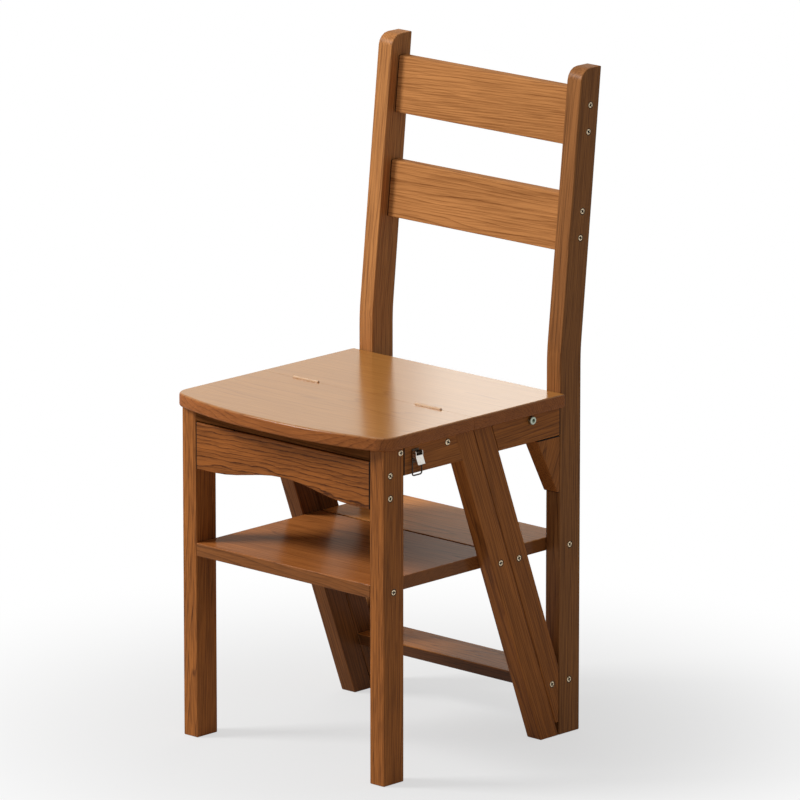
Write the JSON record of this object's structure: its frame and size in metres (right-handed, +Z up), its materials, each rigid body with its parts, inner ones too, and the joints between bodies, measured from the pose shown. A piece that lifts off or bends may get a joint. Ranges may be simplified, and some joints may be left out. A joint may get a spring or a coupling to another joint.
{
  "type": "folding ladder chair",
  "caption": "Wooden chair whose back half folds forward over the seat to make a step ladder, with a split seat and shelf, a low board, seat hinges and draw latches.",
  "frame": {"origin": "on the floor, under the middle of the chair's bounding box", "axes": "+Z up, -Y towards the front of the chair, +X to the right for someone who looks at its front"},
  "size_m": [0.3876, 0.4457, 0.889],
  "materials": {
    "light_wood": "stained orange-brown hardwood, satin lacquer",
    "dark_wood": "stained brown hardwood, satin lacquer",
    "seat_wood": "stained brown hardwood, glossier lacquer",
    "bright_steel": "zinc plated",
    "dull_steel": "dull plated",
    "bronze": "dark bronze"
  },
  "bodies": {
    "front_frame": {"front_leg_right": "light_wood", "front_leg_left": "light_wood", "front_diagonal_right": "dark_wood", "front_diagonal_left": "dark_wood", "front_side_rail_right": "dark_wood", "front_side_rail_left": "dark_wood", "front_apron": "light_wood", "front_bearer": "light_wood", "front_shelf": "seat_wood", "front_seat_board": "seat_wood", "seat_hinge_front_leaf_right": "bronze", "seat_hinge_front_leaf_left": "bronze", "latch_base_right": "dull_steel", "latch_base_left": "dull_steel", "apron_upper_screw_right": "bright_steel", "apron_upper_screw_left": "bright_steel", "apron_lower_screw_right": "bright_steel", "apron_lower_screw_left": "bright_steel", "shelf_leg_screw_right": "bright_steel", "shelf_leg_screw_left": "bright_steel", "shelf_front_diagonal_screw_right": "bright_steel", "shelf_front_diagonal_screw_left": "bright_steel"},
    "back_frame": {"back_post_right": "dark_wood", "back_post_left": "dark_wood", "rear_diagonal_right": "dark_wood", "rear_diagonal_left": "dark_wood", "rear_side_rail_right": "dark_wood", "rear_side_rail_left": "dark_wood", "gusset_right": "dark_wood", "gusset_left": "dark_wood", "rear_bearer": "light_wood", "rear_shelf": "seat_wood", "low_board": "seat_wood", "crest_rail": "light_wood", "lower_back_rail": "light_wood", "rear_seat_board": "seat_wood", "seat_hinge_rear_leaf_right": "bronze", "seat_hinge_rear_leaf_left": "bronze", "catch_bolt_right": "bright_steel", "catch_bolt_left": "bright_steel", "shelf_rear_diagonal_screw_right": "bright_steel", "shelf_rear_diagonal_screw_left": "bright_steel", "shelf_post_screw_right": "bright_steel", "shelf_post_screw_left": "bright_steel", "low_board_diagonal_screw_right": "bright_steel", "low_board_diagonal_screw_left": "bright_steel", "low_board_post_screw_right": "bright_steel", "low_board_post_screw_left": "bright_steel", "crest_rail_upper_screw_right": "bright_steel", "crest_rail_upper_screw_left": "bright_steel", "crest_rail_lower_screw_right": "bright_steel", "crest_rail_lower_screw_left": "bright_steel", "lower_back_rail_upper_screw_right": "bright_steel", "lower_back_rail_upper_screw_left": "bright_steel", "lower_back_rail_lower_screw_right": "bright_steel", "lower_back_rail_lower_screw_left": "bright_steel"},
    "lever_right": {"latch_lever_right": "bright_steel"},
    "lever_left": {"latch_lever_left": "bright_steel"},
    "bail_right": {"latch_bail_right": "dull_steel"},
    "bail_left": {"latch_bail_left": "dull_steel"}
  },
  "joints": [
    {"name": "back_frame_flip", "type": "hinge", "parent": "front_frame", "child": "back_frame", "pos_m": [0, -0.02996, 0.4653], "axis": [1, 0, 0], "range_deg": [0, 180]},
    {"name": "latch_lever_right_turn", "type": "hinge", "parent": "front_frame", "child": "lever_right", "pos_m": [0.1865, -0.1314, 0.436], "axis": [0, -1, 0], "range_deg": [0, 110]},
    {"name": "latch_lever_left_turn", "type": "hinge", "parent": "front_frame", "child": "lever_left", "pos_m": [-0.1865, -0.1314, 0.436], "axis": [0, 1, 0], "range_deg": [0, 110]},
    {"name": "latch_bail_right_swing", "type": "hinge", "parent": "lever_right", "child": "bail_right", "pos_m": [0.1854, -0.1314, 0.429], "axis": [0, -1, 0], "range_deg": [0, 70]},
    {"name": "latch_bail_left_swing", "type": "hinge", "parent": "lever_left", "child": "bail_left", "pos_m": [-0.1854, -0.1314, 0.429], "axis": [0, 1, 0], "range_deg": [0, 70]}
  ]
}
